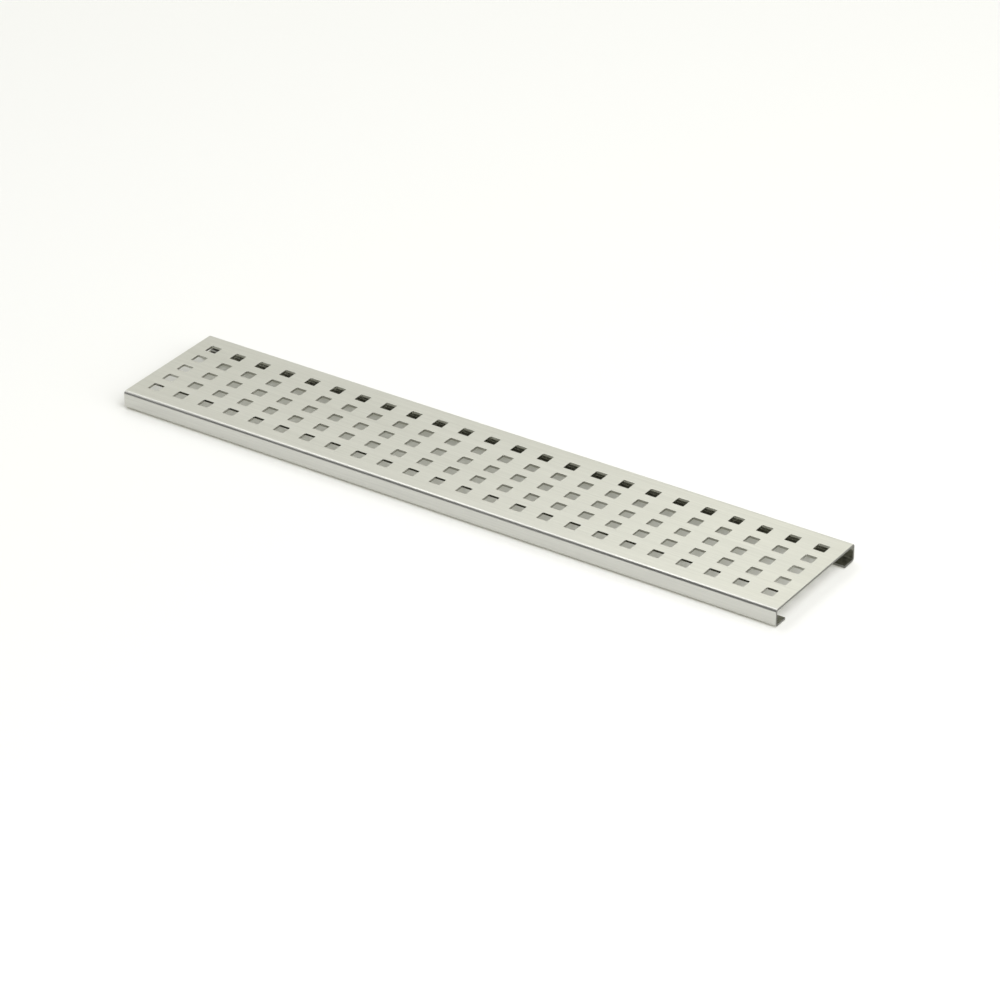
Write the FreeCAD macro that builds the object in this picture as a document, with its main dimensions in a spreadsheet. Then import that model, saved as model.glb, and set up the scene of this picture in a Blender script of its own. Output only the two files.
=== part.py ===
import FreeCAD, Part

import math
import os
import re

import Sketcher

# Floor drain grate: one sheet of stainless steel folded to a flat C, with a grid of square holes in its deck,
# and push-in rubber buffers in its two bottom lips.
# Frame: X along the grate, Y across it (front wall at -Y, rear wall at +Y), Z up. The origin is under the
# middle of the grate, on the plane that the buffers' feet stand on. Sizes are in millimetres.

DRIVING_DIMENSIONS = {
    # the folded sheet
    "cover_length": 500,
    "cover_width": 96,
    "cover_height": 12.5,
    "sheet_thickness": 1.5,
    "bend_radius": 2.3,
    "lip_width": 11.5,
    # the grid of square holes in the deck
    "hole_columns": 24,
    "hole_rows": 5,
    "column_pitch": 20.5,
    "row_pitch": 15.75,
    "hole_side": 8,
    "hole_corner_radius": 0.4,
    # the rubber buffers, each under the middle of a column of holes
    "buffers_per_lip": 4,
    "columns_between_buffers": 7,
    "foot_diameter": 8,
    "foot_thickness": 0.8,
    "foot_edge_radius": 0.25,
    "neck_diameter": 4,
    "barb_diameter": 5.4,
    "barb_rim_height": 0.5,
    "head_tip_diameter": 3,
    "head_height": 2.2,
}

DERIVED_DIMENSIONS = {
    "half_width": "cover_width / 2",
    "inner_half_width": "half_width - sheet_thickness",
    "lip_edge": "half_width - lip_width",
    "deck_top": "foot_thickness + cover_height",
    "deck_underside": "deck_top - sheet_thickness",
    "lip_top": "foot_thickness + sheet_thickness",
    "inner_bend_radius": "bend_radius - sheet_thickness",
    "grid_length": "column_pitch * (hole_columns - 1)",
    "grid_width": "row_pitch * (hole_rows - 1)",
    "first_column": "-grid_length / 2",
    "first_row": "-grid_width / 2",
    "buffer_spacing": "column_pitch * columns_between_buffers",
    "buffer_row_length": "buffer_spacing * (buffers_per_lip - 1)",
    "first_buffer": "-buffer_row_length / 2",
    # the middle of the flat part of a lip, between the lip's edge and the start of its bend
    "buffer_line": "(lip_edge + half_width - bend_radius) / 2",
}

LEFT_TO_RIGHT = ["left_end", "left_middle", "right_middle", "right_end"]

doc = FreeCAD.newDocument("floor_drain_grate")


def make_sheet():
    """Write the driving dimensions as plain numbers, and the derived ones as formulas on them."""
    sheet = doc.addObject("Spreadsheet::Sheet", "Dimensions")
    cells = {alias: str(number) for alias, number in DRIVING_DIMENSIONS.items()}
    cells.update({alias: "=" + formula for alias, formula in DERIVED_DIMENSIONS.items()})
    for row, (alias, content) in enumerate(cells.items(), start=1):
        sheet.set(f"A{row}", alias)
        sheet.set(f"B{row}", content)
        sheet.setAlias(f"B{row}", alias)
    doc.recompute()
    return sheet


sheet = make_sheet()


def bound(formula):
    """A formula on the sheet's aliases, in the words that another object's expression needs."""
    return re.sub("[a-z_]+", r"Dimensions.\g<0>", formula)


def number(formula):
    """The value that a formula on the sheet's aliases has now."""
    return float(sheet.evalExpression(bound(formula)))


# ---- sketches ----

def new_sketch(body, name, plane, height=None):
    """An empty sketch on one of the body's own origin planes, raised to a height where one is given."""
    sketch = body.newObject("Sketcher::SketchObject", name)
    origin_plane = next(item for item in body.Origin.OriginFeatures if item.Role == plane)
    sketch.AttachmentSupport = [(origin_plane, "")]
    sketch.MapMode = "FlatFace"
    if height:
        sketch.setExpression("AttachmentOffset.Base.z", bound(height))
    return sketch


def constrain(sketch, kind, *where, formula):
    """A dimension in the sketch that follows a formula on the sheet."""
    index = sketch.addConstraint(Sketcher.Constraint(kind, *where, number(formula)))
    sketch.setExpression(f"Constraints[{index}]", bound(formula))


def place_point(sketch, geometry, point, direction, formula):
    """Hold a point at a signed distance from the sketch's origin, or on its axis where the formula is 0."""
    if formula == "0":
        axis = {"DistanceX": -2, "DistanceY": -1}[direction]
        sketch.addConstraint(Sketcher.Constraint("PointOnObject", geometry, point, axis))
    else:
        constrain(sketch, direction, -1, 1, geometry, point, formula=formula)


def add_circle(sketch, across, up, diameter):
    """A circle placed by formulas."""
    centre = FreeCAD.Vector(number(across), number(up), 0)
    circle = sketch.addGeometry(Part.Circle(centre, FreeCAD.Vector(0, 0, 1), number(diameter) / 2))
    place_point(sketch, circle, 3, "DistanceX", across)
    place_point(sketch, circle, 3, "DistanceY", up)
    constrain(sketch, "Diameter", circle, formula=diameter)


def add_outline(sketch, corners):
    """A closed outline through corners given as (across, up, radius), with radius None at a sharp corner.

    Each edge is level or upright, or slopes from the end of an upright edge to the start of a level one.
    """
    start_point, end_point = 1, 2
    places = [FreeCAD.Vector(number(across), number(up), 0) for across, up, radius in corners]
    count = len(corners)
    path = []
    for i in range(count):
        here, ahead, behind = places[i], places[(i + 1) % count], places[i - 1]
        across, up, radius = corners[i]
        next_across, next_up, next_radius = corners[(i + 1) % count]
        start = here
        if radius:
            # the corner's arc, which the sketch stores anticlockwise whichever way the outline turns
            size = number(radius)
            back = (behind - here).normalize() * size
            forward = (ahead - here).normalize() * size
            start = here + forward
            centre = here + back + forward
            middle = centre + (here - centre).normalize() * size
            arc = sketch.addGeometry(Part.Arc(here + back, middle, start))
            constrain(sketch, "Radius", arc, formula=radius)
            turns_left = back.cross(forward).z < 0
            path.append((arc, start_point, end_point) if turns_left else (arc, end_point, start_point))
        end = ahead
        if next_radius:
            end = ahead + (here - ahead).normalize() * number(next_radius)
        edge = sketch.addGeometry(Part.LineSegment(start, end))
        path.append((edge, start_point, end_point))
        if up == next_up:
            sketch.addConstraint(Sketcher.Constraint("Horizontal", edge))
            place_point(sketch, edge, start_point, "DistanceY", up)
        elif across == next_across:
            sketch.addConstraint(Sketcher.Constraint("Vertical", edge))
            place_point(sketch, edge, start_point, "DistanceX", across)
        else:
            place_point(sketch, edge, start_point, "DistanceY", up)
            place_point(sketch, edge, end_point, "DistanceX", next_across)
    for here, ahead in zip(path, path[1:] + path[:1]):
        both_straight = not (is_arc(sketch, here[0]) or is_arc(sketch, ahead[0]))
        joint = "Coincident" if both_straight else "Tangent"
        sketch.addConstraint(Sketcher.Constraint(joint, here[0], here[2], ahead[0], ahead[1]))


def is_arc(sketch, geometry):
    return isinstance(sketch.Geometry[geometry], Part.ArcOfCircle)


# ---- features ----

def new_body(label):
    body = doc.addObject("PartDesign::Body", label)
    body.Label = label
    return body


def add_pocket(body, name, sketch):
    """Cut a sketch down through one thickness of the sheet."""
    pocket = body.newObject("PartDesign::Pocket", name)
    pocket.Profile = sketch
    pocket.setExpression("Length", bound("sheet_thickness"))
    doc.recompute()
    return pocket


def add_pattern(body, name, feature, sketch, count, length, rows=None, width=None):
    """Spread copies of a feature over a length along the grate, and over a width across it where given."""
    pattern = body.newObject("PartDesign::LinearPattern", name)
    pattern.Originals = [feature]
    pattern.Direction = (sketch, ["H_Axis"])
    pattern.setExpression("Length", bound(length))
    pattern.setExpression("Occurrences", bound(count))
    if rows:
        pattern.Direction2 = (sketch, ["V_Axis"])
        pattern.setExpression("Length2", bound(width))
        pattern.setExpression("Occurrences2", bound(rows))
    body.Tip = pattern
    doc.recompute()


# ---- the folded, perforated sheet ----

def make_cover():
    """One sheet folded four times: deck, two walls and two lips, with the deck and the lips punched."""
    body = new_body("perforated_cover")

    profile = new_sketch(body, "cover_profile", "YZ_Plane")
    outer_side = [
        ("-lip_edge", "foot_thickness", None),
        ("-half_width", "foot_thickness", "bend_radius"),
        ("-half_width", "deck_top", "bend_radius"),
        ("half_width", "deck_top", "bend_radius"),
        ("half_width", "foot_thickness", "bend_radius"),
        ("lip_edge", "foot_thickness", None),
    ]
    inner_side = [
        ("lip_edge", "lip_top", None),
        ("inner_half_width", "lip_top", "inner_bend_radius"),
        ("inner_half_width", "deck_underside", "inner_bend_radius"),
        ("-inner_half_width", "deck_underside", "inner_bend_radius"),
        ("-inner_half_width", "lip_top", "inner_bend_radius"),
        ("-lip_edge", "lip_top", None),
    ]
    add_outline(profile, outer_side + inner_side)
    pad = body.newObject("PartDesign::Pad", "folded_sheet")
    pad.Profile = profile
    pad.SideType = "Symmetric"
    pad.setExpression("Length", bound("cover_length"))
    doc.recompute()

    # the square hole nearest the front left corner, and the grid that it starts
    hole = new_sketch(body, "deck_hole_outline", "XY_Plane", "deck_top")
    left, right = "first_column - hole_side / 2", "first_column + hole_side / 2"
    near, far = "first_row - hole_side / 2", "first_row + hole_side / 2"
    add_outline(hole, [
        (left, near, "hole_corner_radius"),
        (right, near, "hole_corner_radius"),
        (right, far, "hole_corner_radius"),
        (left, far, "hole_corner_radius"),
    ])
    deck_hole = add_pocket(body, "deck_hole", hole)
    add_pattern(body, "deck_holes", deck_hole, hole, "hole_columns", "grid_length", "hole_rows", "grid_width")

    # the round holes in both lips that hold the buffers' necks
    seats = new_sketch(body, "buffer_seat_outline", "XY_Plane", "lip_top")
    for line in ("-buffer_line", "buffer_line"):
        add_circle(seats, "first_buffer", line, "neck_diameter")
    buffer_seat = add_pocket(body, "buffer_seat", seats)
    add_pattern(body, "buffer_seats", buffer_seat, seats, "buffers_per_lip", "buffer_row_length")
    return body


# ---- the rubber buffers ----

def make_buffer(label, across_sign, place):
    """A turned buffer: a flat foot under the lip, a neck in the lip's hole and a tapered barb above it."""
    body = new_body(label)
    section = new_sketch(body, label + "_section", "XZ_Plane")
    add_outline(section, [
        ("0", "0", None),
        ("foot_diameter / 2", "0", "foot_edge_radius"),
        ("foot_diameter / 2", "foot_thickness", None),
        ("neck_diameter / 2", "foot_thickness", None),
        ("neck_diameter / 2", "lip_top", None),
        ("barb_diameter / 2", "lip_top", None),
        ("barb_diameter / 2", "lip_top + barb_rim_height", None),
        ("head_tip_diameter / 2", "lip_top + head_height", None),
        ("0", "lip_top + head_height", None),
    ])
    turned = body.newObject("PartDesign::Revolution", label + "_turned")
    turned.Profile = section
    turned.ReferenceAxis = (section, ["V_Axis"])
    body.setExpression("Placement.Base.x", bound(f"first_buffer + {place} * buffer_spacing"))
    body.setExpression("Placement.Base.y", bound(f"{across_sign}buffer_line"))
    return body


def make_buffers():
    """A row of buffers along each lip, named by the wall that it is on and its place along that wall."""
    buffers = []
    for side, across_sign in (("front", "-"), ("rear", "")):
        for place, name in enumerate(LEFT_TO_RIGHT):
            buffers.append(make_buffer(f"buffer_{side}_{name}", across_sign, place))
    return buffers


# ---- build, check and write ----

def check_document():
    """Stop if any object failed to build, or a sketch has freedom left."""
    for item in doc.Objects:
        if "Invalid" in item.State or "Error" in item.State:
            raise RuntimeError(f"{item.Name} failed: {item.State}")
        if item.TypeId == "Sketcher::SketchObject" and not item.FullyConstrained:
            raise RuntimeError(f"{item.Name} is not fully constrained")


def check_piece(body):
    """Stop if a piece isn't one valid solid."""
    shape = body.Shape
    if shape.isNull() or not shape.isValid() or len(shape.Solids) != 1:
        raise RuntimeError(f"{body.Label} is not one valid solid")


def check_holes(cover):
    """Stop if the pockets removed anything but every deck hole and every buffer seat."""
    corner_waste = (4 - math.pi) * number("hole_corner_radius") ** 2
    square_holes = number("hole_columns * hole_rows") * (number("hole_side") ** 2 - corner_waste)
    round_holes = number("2 * buffers_per_lip") * math.pi * number("neck_diameter / 2") ** 2
    expected = (square_holes + round_holes) * number("sheet_thickness")
    removed = doc.getObject("folded_sheet").Shape.Volume - cover.Shape.Volume
    if abs(removed - expected) > 0.001 * expected:
        raise RuntimeError(f"punching removed {removed:.1f} mm3 and not {expected:.1f} mm3")


def main():
    cover = make_cover()
    pieces = [cover] + make_buffers()
    doc.recompute()
    check_document()
    for piece in pieces:
        check_piece(piece)
    check_holes(cover)
    os.makedirs("parts", exist_ok=True)
    for piece in pieces:
        piece.Shape.exportStep(f"parts/{piece.Label}.step")
        box = piece.Shape.BoundBox
        print(f"{piece.Label}: {piece.Shape.Volume:.1f} mm3, x {box.XMin:.2f} to {box.XMax:.2f}, "
              f"y {box.YMin:.2f} to {box.YMax:.2f}, z {box.ZMin:.2f} to {box.ZMax:.2f}")


main()
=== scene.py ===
import math

import bmesh
import bpy
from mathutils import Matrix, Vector


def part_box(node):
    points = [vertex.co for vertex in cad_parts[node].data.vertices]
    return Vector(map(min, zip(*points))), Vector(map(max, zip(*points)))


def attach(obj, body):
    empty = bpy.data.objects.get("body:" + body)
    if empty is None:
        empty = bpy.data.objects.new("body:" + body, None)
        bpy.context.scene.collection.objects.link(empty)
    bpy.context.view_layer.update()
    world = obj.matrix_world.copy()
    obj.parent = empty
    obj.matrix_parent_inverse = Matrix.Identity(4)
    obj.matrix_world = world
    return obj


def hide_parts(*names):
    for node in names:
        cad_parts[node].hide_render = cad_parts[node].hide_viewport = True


# A floor drain grate: one brushed stainless sheet folded to a flat C and punched with square holes, standing
# on eight rubber buffers pushed into its bottom lips. Lengths are in metres, in the frame of the CAD model.

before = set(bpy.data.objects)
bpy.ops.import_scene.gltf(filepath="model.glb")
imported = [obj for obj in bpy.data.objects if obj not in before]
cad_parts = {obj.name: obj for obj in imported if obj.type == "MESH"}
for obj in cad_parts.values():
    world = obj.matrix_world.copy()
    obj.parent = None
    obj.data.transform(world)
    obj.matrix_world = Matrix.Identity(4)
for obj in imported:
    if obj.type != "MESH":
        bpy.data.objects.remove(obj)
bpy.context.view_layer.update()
cover_low, cover_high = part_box("perforated_cover")

MM = 0.001
# vertices closer together than this are one vertex
WELD = 0.001 * MM

# ---- sizes of the folded sheet ----
HALF_LENGTH = cover_high.x
HALF_WIDTH = cover_high.y
DECK_TOP = cover_high.z
LIP_BOTTOM = cover_low.z
SHEET = 1.5 * MM
BEND_RADIUS = 2.3 * MM
LIP_WIDTH = 11.5 * MM
BEND_STEPS = 12

# ---- the punched holes of the deck ----
COLUMNS = 24
ROWS = 5
COLUMN_PITCH = 20.5 * MM
ROW_PITCH = 15.75 * MM
HOLE_HALF_SIDE = 4 * MM
HOLE_CORNER_RADIUS = 0.4 * MM
HOLE_CORNER_STEPS = 3

# ---- the round holes of the lips, which hold the buffers under these columns ----
BUFFER_COLUMNS = (1, 8, 15, 22)
NECK_RADIUS = 2 * MM
NECK_STEPS = 6

# ---- the rims: a punch draws a hole's top edge down, and the other cut edges are finely broken ----
ROLLOVER = 0.22 * MM
BROKEN_EDGE = 0.05 * MM
RIM_SEGMENTS = 3

# ---- the rubber buffers ----
FOOT_RADIUS = 4 * MM
FOOT_BOTTOM_FILLET = 0.25 * MM
FOOT_TOP_FILLET = 0.15 * MM
BARB_RADIUS = 2.7 * MM
BARB_FILLET = 0.2 * MM
BARB_RIM_HEIGHT = 0.5 * MM
TIP_RADIUS = 1.5 * MM
TIP_FILLET = 0.4 * MM
# the angle at which the cone of the head runs into the fillet of its tip
TIP_FILLET_START = 30
# the small round mark that the mould's gate leaves in the middle of the foot
GATE_RADIUS = 0.8 * MM
GATE_DEPTH = 0.2 * MM
GATE_FILLET = 0.1 * MM
BUFFER_TURN_STEPS = 40
BUFFER_ARC_STEPS = 4

# ---- the sheet's surfaces, as material numbers ----
OUTER_SKIN, INNER_SKIN, CUT_END, PUNCHED_EDGE = 0, 1, 2, 3

# ---- finishes: (darkest, lightest) colour and (smoothest, roughest) roughness ----
BRUSHED_COLOURS = ((0.55, 0.55, 0.515), (0.64, 0.64, 0.60))
BRUSHED_ROUGHNESS = (0.30, 0.36)
# the mill colours are partly the mill finish's own grey and partly painted shade: darker than the steel
# itself, so the inner skin inside the C reads shaded
MILL_COLOURS_WITH_PAINTED_SHADE = ((0.40, 0.40, 0.36), (0.48, 0.48, 0.435))
MILL_ROUGHNESS = (0.14, 0.2)
# the sheared colours are painted shade: much darker than steel, so the cut ends read as dark shaded lines
SHEARED_COLOURS_WITH_PAINTED_SHADE = ((0.15, 0.15, 0.14), (0.24, 0.24, 0.22))
SHEARED_ROUGHNESS = (0.24, 0.38)
PUNCHED_COLOURS = ((0.45, 0.45, 0.41), (0.55, 0.55, 0.50))
PUNCHED_ROUGHNESS = (0.12, 0.2)
RUBBER_COLOURS = ((0.012, 0.012, 0.013), (0.03, 0.03, 0.031))
RUBBER_ROUGHNESS = (0.62, 0.8)

# ---- grains of the surfaces, as frequencies per metre along X, Y and Z ----
BRUSH_STROKES = (14, 1100, 1100)
BROAD_SHEEN = (9, 60, 60)
MILL_CRYSTALS = (1800, 1800, 1800)
TOOL_SCORES = (4000, 4000, 500)
RUBBER_PORES = (2500, 2500, 2500)
# the part of the noise's range that nearly all of it falls in
NOISE_LOW = 0.3
NOISE_HIGH = 0.7

# ---- the depths of those grains, with how strongly they show ----
BRUSH_RELIEF = (0.01 * MM, 0.5)
MILL_RELIEF = (0.005 * MM, 0.4)
SCORE_RELIEF = (0.01 * MM, 0.4)
PORE_RELIEF = (0.02 * MM, 0.5)

# ---- the stage ----
FLOOR_HALF_SIDE = 1.2
FLOOR_COLOUR = (0.72, 0.72, 0.72)
FLOOR_GLOW = 0.15
FLOOR_GLOW_COLOUR = (1.0, 1.0, 0.78)
FLOOR_ROUGHNESS = 0.9
SURROUND = (0.10, 0.10, 0.10)
BACKDROP = (1.0, 1.0, 1.0)
LIGHT_DISTANCE = 3.0
WHITE = (1.0, 1.0, 1.0)
WARM = (1.0, 1.0, 0.89)
# name, azimuth and elevation in degrees, size in metres, radiance, colour
SOFTBOXES = [
    ("key", 50, 52, 2.6, 3.45, WHITE),
    ("right_fill", 85, 20, 2.2, 2.4, WHITE),
    ("right_rear_top", 135, 55, 1.8, 2.0, WHITE),
    ("left_rear_top", 225, 55, 1.8, 1.3, WHITE),
    ("bend_highlight", 270, 66, 1.1, 2.6, WHITE),
    ("deck_reflection_left", 217, 27, 2.45, 0.69, WARM),
    ("deck_reflection_right", 190, 34, 1.7, 0.48, WARM),
    ("left_fill", 290, 35, 2.0, 0.7, WHITE),
]

# ---- the camera, which looks at a point on the deck ----
CAMERA_AIM = (36.57 * MM, -29.75 * MM, DECK_TOP)
CAMERA_AZIMUTH = 33.66
CAMERA_ELEVATION = 30.055
CAMERA_DISTANCE = 2.777
SENSOR_WIDTH = 36.0
LENS = 157.98
NEAREST_SEEN = 0.1
FURTHEST_SEEN = 50.0


def polar(radius, degrees):
    """The two legs of a radius at an angle."""
    return radius * math.cos(math.radians(degrees)), radius * math.sin(math.radians(degrees))


# ---- the folded sheet ----

def bend(centre_y, centre_z, start, end):
    """Pairs of outer and inner points round a quarter bend, from one angle to another in degrees."""
    pairs = []
    for step in range(BEND_STEPS + 1):
        angle = start + (end - start) * step / BEND_STEPS
        outer_y, outer_z = polar(BEND_RADIUS, angle)
        inner_y, inner_z = polar(BEND_RADIUS - SHEET, angle)
        pairs.append(((centre_y + outer_y, centre_z + outer_z), (centre_y + inner_y, centre_z + inner_z)))
    return pairs


def section():
    """The C section as pairs of outer and inner (y, z) points, from the front lip to the rear lip."""
    lip_edge = HALF_WIDTH - LIP_WIDTH
    bend_y = HALF_WIDTH - BEND_RADIUS
    low_bend_z = LIP_BOTTOM + BEND_RADIUS
    high_bend_z = DECK_TOP - BEND_RADIUS
    front_edge = ((-lip_edge, LIP_BOTTOM), (-lip_edge, LIP_BOTTOM + SHEET))
    rear_edge = ((lip_edge, LIP_BOTTOM), (lip_edge, LIP_BOTTOM + SHEET))
    front = bend(-bend_y, low_bend_z, 270, 180) + bend(-bend_y, high_bend_z, 180, 90)
    rear = bend(bend_y, high_bend_z, 90, 0) + bend(bend_y, low_bend_z, 0, -90)
    row_lines = [(row - ROWS / 2) * ROW_PITCH for row in range(ROWS + 1)]
    deck = [((y, DECK_TOP), (y, DECK_TOP - SHEET)) for y in row_lines]
    return [front_edge] + front + deck + rear + [rear_edge]


def column_lines():
    """The x of both ends and of the lines between the columns of holes."""
    between = [(column - COLUMNS / 2) * COLUMN_PITCH for column in range(COLUMNS + 1)]
    return [-HALF_LENGTH] + between + [HALF_LENGTH]


def holes_by_cell(station_count):
    """The half side, corner radius and corner steps of each punched cell, by its (line, station) numbers."""
    first_deck_station = 1 + 2 * (BEND_STEPS + 1)
    first_column_line = 1
    holes = {}
    for column in range(COLUMNS):
        for row in range(ROWS):
            cell = (first_column_line + column, first_deck_station + row)
            holes[cell] = (HOLE_HALF_SIDE, HOLE_CORNER_RADIUS, HOLE_CORNER_STEPS)
    for column in BUFFER_COLUMNS:
        for station in (0, station_count - 2):
            holes[(first_column_line + column, station)] = (NECK_RADIUS, NECK_RADIUS, NECK_STEPS)
    return holes


def add_face(bm, verts, material):
    """One face, with the number of its surface."""
    face = bm.faces.new(verts)
    face.material_index = material


def hole_outline(bm, corners, half_side, corner_radius, steps):
    """The vertices of a rounded square in the middle of a cell, one list for each of its corners."""
    centre = sum((corner.co for corner in corners), Vector()) / len(corners)
    along = (corners[1].co - corners[0].co).normalized()
    across = (corners[3].co - corners[0].co).normalized()
    straight = half_side - corner_radius
    outline = []
    for quarter, (side_u, side_v) in enumerate([(-1, -1), (1, -1), (1, 1), (-1, 1)]):
        arc = []
        for step in range(steps + 1):
            u, v = polar(corner_radius, 180 + 90 * (quarter + step / steps))
            place = centre + along * (side_u * straight + u) + across * (side_v * straight + v)
            arc.append(bm.verts.new(place))
        outline.append(arc)
    return outline


def skin_round_hole(bm, corners, outline, material, flip):
    """Fill the cell between its four corners and the hole's outline."""
    for quarter in range(4):
        arc, next_arc = outline[quarter], outline[(quarter + 1) % 4]
        faces = [[corners[quarter], arc[step + 1], arc[step]] for step in range(len(arc) - 1)]
        faces.append([corners[quarter], corners[(quarter + 1) % 4], next_arc[0], arc[-1]])
        for verts in faces:
            add_face(bm, verts[::-1] if flip else verts, material)


def punch(bm, outer_corners, inner_corners, hole):
    """A cell of the sheet with a hole through it."""
    outer_outline = hole_outline(bm, outer_corners, *hole)
    inner_outline = hole_outline(bm, inner_corners, *hole)
    skin_round_hole(bm, outer_corners, outer_outline, OUTER_SKIN, flip=False)
    skin_round_hole(bm, inner_corners, inner_outline, INNER_SKIN, flip=True)
    outer_ring = [vert for arc in outer_outline for vert in arc]
    inner_ring = [vert for arc in inner_outline for vert in arc]
    for i in range(len(outer_ring)):
        ahead = (i + 1) % len(outer_ring)
        add_face(bm, (outer_ring[i], outer_ring[ahead], inner_ring[ahead], inner_ring[i]), PUNCHED_EDGE)


def break_edges(bm):
    """Weight the cut edges for the bevel: a hole's outer rim gets the rollover, the rest a fine break."""
    weights = bm.edges.layers.float.new("bevel_weight_edge")
    for edge in bm.edges:
        kinds = {face.material_index for face in edge.link_faces}
        if kinds == {OUTER_SKIN, PUNCHED_EDGE}:
            edge[weights] = 1.0
        elif len(kinds) > 1 and kinds & {CUT_END, PUNCHED_EDGE}:
            edge[weights] = BROKEN_EDGE / ROLLOVER


def new_piece(name, bm, node, materials):
    """A piece that stands for a CAD node, made from a bmesh."""
    mesh = bpy.data.meshes.new(name)
    bm.to_mesh(mesh)
    bm.free()
    mesh.shade_smooth()
    for material in materials:
        mesh.materials.append(material)
    piece = bpy.data.objects.new(name, mesh)
    bpy.context.collection.objects.link(piece)
    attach(piece, "root")
    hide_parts(node)
    return piece


def build_cover(materials):
    """The sheet, as cells between the column lines and the stations of its section, closed at its cuts."""
    bm = bmesh.new()
    stations = section()
    lines = column_lines()
    outer = [[bm.verts.new((x, y, z)) for (y, z), _ in stations] for x in lines]
    inner = [[bm.verts.new((x, y, z)) for _, (y, z) in stations] for x in lines]
    holes = holes_by_cell(len(stations))
    for i in range(len(lines) - 1):
        for j in range(len(stations) - 1):
            cell = [(i, j), (i + 1, j), (i + 1, j + 1), (i, j + 1)]
            outer_corners = [outer[line][station] for line, station in cell]
            inner_corners = [inner[line][station] for line, station in cell]
            if (i, j) in holes:
                punch(bm, outer_corners, inner_corners, holes[(i, j)])
            else:
                add_face(bm, outer_corners, OUTER_SKIN)
                add_face(bm, inner_corners[::-1], INNER_SKIN)
        add_face(bm, (outer[i][0], inner[i][0], inner[i + 1][0], outer[i + 1][0]), CUT_END)
        add_face(bm, (outer[i][-1], outer[i + 1][-1], inner[i + 1][-1], inner[i][-1]), CUT_END)
    for j in range(len(stations) - 1):
        add_face(bm, (outer[0][j], outer[0][j + 1], inner[0][j + 1], inner[0][j]), CUT_END)
        add_face(bm, (outer[-1][j], inner[-1][j], inner[-1][j + 1], outer[-1][j + 1]), CUT_END)
    bmesh.ops.remove_doubles(bm, verts=bm.verts, dist=WELD)
    break_edges(bm)
    cover = new_piece("cover_folded_sheet", bm, "perforated_cover", materials)
    bevel = cover.modifiers.new("broken_edges", "BEVEL")
    bevel.limit_method = "WEIGHT"
    bevel.width = ROLLOVER
    bevel.segments = RIM_SEGMENTS
    weighted = cover.modifiers.new("flat_faces_stay_flat", "WEIGHTED_NORMAL")
    weighted.keep_sharp = True


# ---- materials ----

def new_material(name):
    """A new node material, with its node tree and its shader."""
    material = bpy.data.materials.new(name)
    material.use_nodes = True
    shader = material.node_tree.nodes["Principled BSDF"]
    return material, material.node_tree, shader


def grain(tree, stretch, detail, roughness):
    """Noise in the object's own space, stretched by a frequency per metre along each axis."""
    place = tree.nodes.new("ShaderNodeTexCoord")
    mapping = tree.nodes.new("ShaderNodeMapping")
    noise = tree.nodes.new("ShaderNodeTexNoise")
    mapping.inputs["Scale"].default_value = stretch
    noise.inputs["Scale"].default_value = 1.0
    noise.inputs["Detail"].default_value = detail
    noise.inputs["Roughness"].default_value = roughness
    tree.links.new(place.outputs["Object"], mapping.inputs["Vector"])
    tree.links.new(mapping.outputs["Vector"], noise.inputs["Vector"])
    return noise.outputs["Fac"]


def remap(tree, value, low, high):
    """A noise value spread from its usual range over another one."""
    spread = tree.nodes.new("ShaderNodeMapRange")
    spread.inputs["From Min"].default_value = NOISE_LOW
    spread.inputs["From Max"].default_value = NOISE_HIGH
    spread.inputs["To Min"].default_value = low
    spread.inputs["To Max"].default_value = high
    tree.links.new(value, spread.inputs["Value"])
    return spread.outputs["Result"]


def blend(tree, value, dark, light):
    """A colour between two, chosen by a value."""
    mix = tree.nodes.new("ShaderNodeMix")
    mix.data_type = "RGBA"
    mix.inputs["A"].default_value = (*dark, 1)
    mix.inputs["B"].default_value = (*light, 1)
    tree.links.new(value, mix.inputs["Factor"])
    return mix.outputs["Result"]


def add_bump(tree, shader, height, relief):
    """Bumps as high as a value, with a relief of depth and strength."""
    depth, strength = relief
    bump = tree.nodes.new("ShaderNodeBump")
    bump.inputs["Distance"].default_value = depth
    bump.inputs["Strength"].default_value = strength
    tree.links.new(height, bump.inputs["Height"])
    tree.links.new(bump.outputs["Normal"], shader.inputs["Normal"])


def grained_material(name, metallic, stretch, colours, roughness, relief):
    """A material whose colour, roughness and bumps all follow one grain."""
    material, tree, shader = new_material(name)
    shader.inputs["Metallic"].default_value = metallic
    texture = grain(tree, stretch, detail=4.0, roughness=0.6)
    colour = blend(tree, remap(tree, texture, 0, 1), *colours)
    tree.links.new(colour, shader.inputs["Base Color"])
    tree.links.new(remap(tree, texture, *roughness), shader.inputs["Roughness"])
    add_bump(tree, shader, texture, relief)
    return material


def brushed_steel():
    """The outer skin, brushed along the grate's length, with broad faint changes of sheen."""
    material, tree, shader = new_material("brushed_outer_skin")
    shader.inputs["Metallic"].default_value = 1.0
    strokes = grain(tree, BRUSH_STROKES, detail=4.0, roughness=0.8)
    broad = grain(tree, BROAD_SHEEN, detail=2.0, roughness=0.6)
    colour = blend(tree, remap(tree, strokes, 0, 1), *BRUSHED_COLOURS)
    tree.links.new(colour, shader.inputs["Base Color"])
    tree.links.new(remap(tree, broad, *BRUSHED_ROUGHNESS), shader.inputs["Roughness"])
    add_bump(tree, shader, strokes, BRUSH_RELIEF)
    return material


def mill_steel_with_painted_shade():
    """The inner skin, left as it came from the mill: smoother, not brushed and greyer than the outer skin;
    its colour is also painted darker still, as painted shade for the inside of the C under the deck.
    """
    return grained_material("mill_inner_skin_with_painted_shade", 1, MILL_CRYSTALS, MILL_COLOURS_WITH_PAINTED_SHADE, MILL_ROUGHNESS, MILL_RELIEF)


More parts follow.
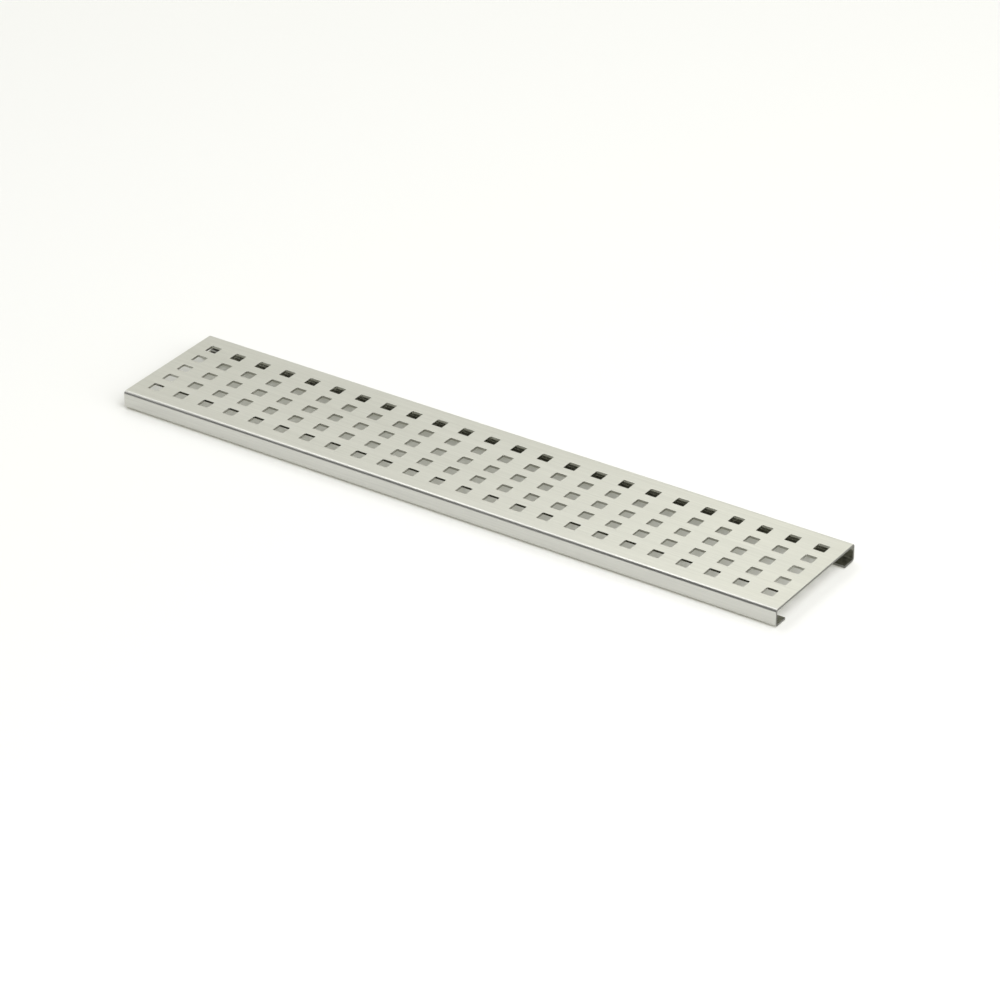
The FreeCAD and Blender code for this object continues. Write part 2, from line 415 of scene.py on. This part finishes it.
def sheared_steel_with_painted_shade():
    """The sheet's sheared ends, dull and scored through its thickness, with a colour painted far darker than
    steel as painted shade along the cut ends.
    """
    return grained_material("sheared_end_with_painted_shade", 1, TOOL_SCORES, SHEARED_COLOURS_WITH_PAINTED_SHADE, SHEARED_ROUGHNESS, SCORE_RELIEF)


def punched_steel():
    """The walls of the punched holes, scored like the ends but burnished bright by the punch."""
    return grained_material("punched_edge", 1, TOOL_SCORES, PUNCHED_COLOURS, PUNCHED_ROUGHNESS, SCORE_RELIEF)


def rubber():
    """The buffers' black rubber, dull and finely porous."""
    return grained_material("black_rubber", 0, RUBBER_PORES, RUBBER_COLOURS, RUBBER_ROUGHNESS, PORE_RELIEF)


# ---- the rubber buffers ----

def rounded_corner(radius, height, fillet, start, end):
    """Points round a fillet whose centre is at (radius, height), between two angles in degrees."""
    points = []
    for step in range(BUFFER_ARC_STEPS + 1):
        across, up = polar(fillet, start + (end - start) * step / BUFFER_ARC_STEPS)
        points.append((radius + across, height + up))
    return points


def buffer_profile():
    """The buffer's half section as (radius, height), from the middle of the foot to that of the head."""
    foot_top = LIP_BOTTOM
    lip_top = LIP_BOTTOM + SHEET
    head_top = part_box("buffer_front_left_end")[1].z
    foot_bottom_corner = (FOOT_RADIUS - FOOT_BOTTOM_FILLET, FOOT_BOTTOM_FILLET)
    foot_top_corner = (FOOT_RADIUS - FOOT_TOP_FILLET, foot_top - FOOT_TOP_FILLET)
    barb_corner = (BARB_RADIUS - BARB_FILLET, lip_top + BARB_FILLET)
    tip_corner = (TIP_RADIUS - TIP_FILLET, head_top - TIP_FILLET)
    profile = [(0, GATE_DEPTH), (GATE_RADIUS - GATE_FILLET, GATE_DEPTH)]
    profile += [(GATE_RADIUS, GATE_DEPTH - GATE_FILLET), (GATE_RADIUS + GATE_FILLET, 0)]
    profile += rounded_corner(*foot_bottom_corner, FOOT_BOTTOM_FILLET, -90, 0)
    profile += rounded_corner(*foot_top_corner, FOOT_TOP_FILLET, 0, 90)
    profile += [(NECK_RADIUS, foot_top), (NECK_RADIUS, lip_top)]
    profile += rounded_corner(*barb_corner, BARB_FILLET, -90, 0)
    profile += [(BARB_RADIUS, lip_top + BARB_RIM_HEIGHT)]
    profile += rounded_corner(*tip_corner, TIP_FILLET, TIP_FILLET_START, 90)
    profile += [(0, head_top)]
    return profile


def build_buffer(node, material):
    """A buffer turned about its own axis, at the place of its CAD node."""
    low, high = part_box(node)
    middle = (low + high) / 2
    bm = bmesh.new()
    verts = [bm.verts.new((middle.x + radius, middle.y, height)) for radius, height in buffer_profile()]
    edges = [bm.edges.new(pair) for pair in zip(verts, verts[1:])]
    axis_point = Vector((middle.x, middle.y, 0))
    bmesh.ops.spin(bm, geom=verts + edges, cent=axis_point, axis=(0, 0, 1), angle=2 * math.pi,
                   steps=BUFFER_TURN_STEPS, use_merge=True)
    bmesh.ops.remove_doubles(bm, verts=bm.verts, dist=WELD)
    bmesh.ops.recalc_face_normals(bm, faces=bm.faces)
    new_piece(node.replace("buffer", "rubber_buffer"), bm, node, [material])


# ---- the stage ----

def build_floor():
    """A plain white floor with a faint glow of its own, like a white table that is lit from all around."""
    mesh = bpy.data.meshes.new("floor")
    half = FLOOR_HALF_SIDE
    corners = [(-half, -half, 0), (half, -half, 0), (half, half, 0), (-half, half, 0)]
    mesh.from_pydata(corners, [], [(0, 1, 2, 3)])
    floor = bpy.data.objects.new("floor", mesh)
    bpy.context.collection.objects.link(floor)
    material, tree, shader = new_material("pale_floor")
    shader.inputs["Base Color"].default_value = (*FLOOR_COLOUR, 1)
    shader.inputs["Emission Color"].default_value = (*FLOOR_GLOW_COLOUR, 1)
    shader.inputs["Emission Strength"].default_value = FLOOR_GLOW
    shader.inputs["Roughness"].default_value = FLOOR_ROUGHNESS
    shader.inputs["Specular IOR Level"].default_value = 0.0
    mesh.materials.append(material)


def direction(azimuth, elevation):
    """The direction from the object towards a place, with azimuth 0 at -Y and 90 at +X."""
    level = math.cos(math.radians(elevation))
    across, back = polar(level, azimuth - 90)
    return Vector((across, back, math.sin(math.radians(elevation))))


def add_softbox(name, azimuth, elevation, size, radiance, colour):
    """A soft square light aimed at the middle of the object; radiance is how bright its face looks."""
    lamp = bpy.data.lights.new(name, "AREA")
    lamp.shape = "SQUARE"
    lamp.size = size
    lamp.color = colour
    lamp.energy = radiance * math.pi * size ** 2
    light = bpy.data.objects.new(name, lamp)
    towards_light = direction(azimuth, elevation)
    light.location = towards_light * LIGHT_DISTANCE
    light.rotation_euler = towards_light.to_track_quat("Z", "Y").to_euler()
    light.visible_camera = False
    bpy.context.collection.objects.link(light)


def build_world():
    """An even dim surround for the object, and a pale backdrop where the camera looks past the floor."""
    world = bpy.data.worlds.new("studio")
    world.use_nodes = True
    tree = world.node_tree
    tree.nodes.clear()
    surround = tree.nodes.new("ShaderNodeBackground")
    surround.inputs["Color"].default_value = (*SURROUND, 1)
    backdrop = tree.nodes.new("ShaderNodeBackground")
    backdrop.inputs["Color"].default_value = (*BACKDROP, 1)
    path = tree.nodes.new("ShaderNodeLightPath")
    mix = tree.nodes.new("ShaderNodeMixShader")
    output = tree.nodes.new("ShaderNodeOutputWorld")
    tree.links.new(path.outputs["Is Camera Ray"], mix.inputs["Fac"])
    tree.links.new(surround.outputs["Background"], mix.inputs[1])
    tree.links.new(backdrop.outputs["Background"], mix.inputs[2])
    tree.links.new(mix.outputs["Shader"], output.inputs["Surface"])
    bpy.context.scene.world = world


def build_camera():
    """The camera, from above the front right, with a long lens."""
    data = bpy.data.cameras.new("camera")
    data.sensor_width = SENSOR_WIDTH
    data.lens = LENS
    data.clip_start = NEAREST_SEEN
    data.clip_end = FURTHEST_SEEN
    camera = bpy.data.objects.new("camera", data)
    towards_camera = direction(CAMERA_AZIMUTH, CAMERA_ELEVATION)
    camera.location = Vector(CAMERA_AIM) + towards_camera * CAMERA_DISTANCE
    camera.rotation_euler = towards_camera.to_track_quat("Z", "Y").to_euler()
    bpy.context.collection.objects.link(camera)
    bpy.context.scene.camera = camera


def set_colours():
    """Plain display colours, so that a white floor comes out white."""
    view = bpy.context.scene.view_settings
    view.view_transform = "Standard"
    view.look = "None"


# ---- the whole scene; the sheet's materials come in the order of their numbers ----

build_cover([brushed_steel(), mill_steel_with_painted_shade(), sheared_steel_with_painted_shade(), punched_steel()])
black_rubber = rubber()
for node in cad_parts:
    if node.startswith("buffer"):
        build_buffer(node, black_rubber)
build_floor()
build_world()
for softbox in SOFTBOXES:
    add_softbox(*softbox)
build_camera()
set_colours()
